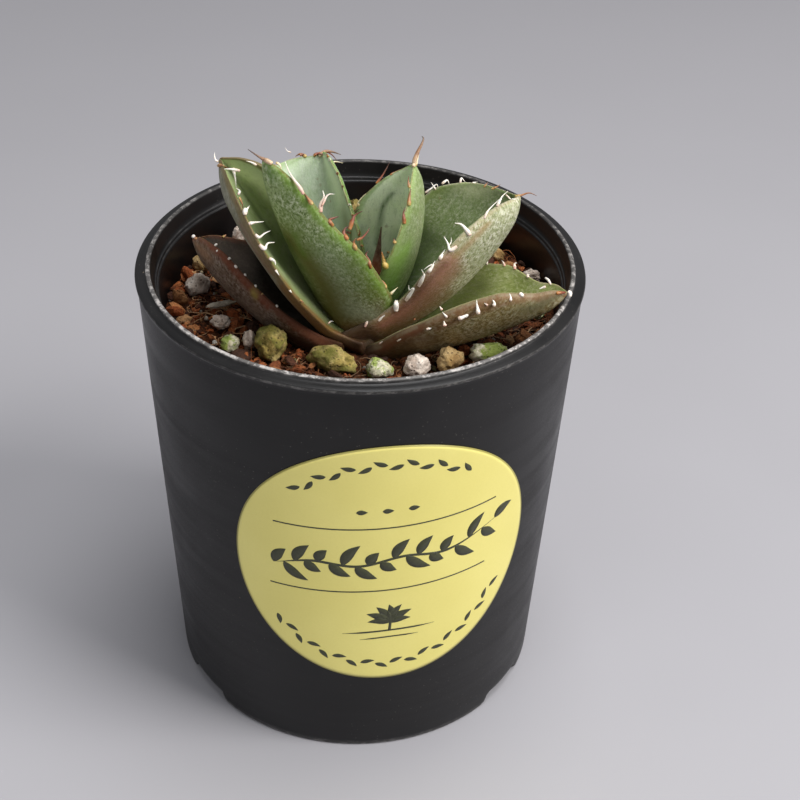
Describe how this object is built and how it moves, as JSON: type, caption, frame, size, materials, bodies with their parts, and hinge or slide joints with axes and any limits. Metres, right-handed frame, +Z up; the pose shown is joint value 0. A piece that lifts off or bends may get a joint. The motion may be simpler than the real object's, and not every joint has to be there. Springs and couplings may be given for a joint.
{
  "type": "potted agave",
  "caption": "Small spiny agave rosette with channelled, toothed leaves in a tapered black nursery pot of gritty potting mix, with an unlettered round sticker on its wall.",
  "frame": {"origin": "centre of the circle the pot's feet stand on", "axes": "+Z up along the pot's axis, -Y towards the side with the sticker, +X to the right seen from that side"},
  "size_m": [0.09, 0.09, 0.1318],
  "materials": {
    "pot_plastic": "satin",
    "sticker_paper": "satin",
    "potting_mix": "matte",
    "crown_skin": "matte",
    "bud_brown": "satin",
    "leaf_green": "satin",
    "leaf_bronze": "satin",
    "stone_cream": "matte",
    "stone_yellow": "matte",
    "stone_green": "matte",
    "pumice": "matte",
    "bark": "matte",
    "stick": "matte"
  },
  "bodies": {
    "root": {"pot": "pot_plastic", "sticker": "sticker_paper", "potting_mix": "potting_mix", "crown": "crown_skin", "bud": "bud_brown", "leaf_upright_right": "leaf_green", "leaf_front_left": "leaf_green", "leaf_back_left": "leaf_green", "leaf_right": "leaf_green", "leaf_left": "leaf_green", "leaf_low_right": "leaf_green", "leaf_low_left": "leaf_bronze", "stone_pale_far_left": "stone_cream", "stone_pitted": "pumice", "bark_left": "bark", "stick_left": "stick", "stone_small_left": "pumice", "stone_mossy_left": "stone_green", "stone_pale_left": "pumice", "stone_yellow_left": "stone_yellow", "stone_yellow_front": "stone_yellow", "stone_green_front": "stone_green", "stone_round_front": "pumice", "stone_angular_front": "stone_cream", "stone_long_right": "stone_green", "stone_green_far_right": "stone_green", "stone_back_right": "pumice", "stone_brown_back": "stone_cream", "bark_back": "bark", "stone_yellow_back": "stone_yellow", "stone_pale_back": "pumice"}
  },
  "joints": []
}
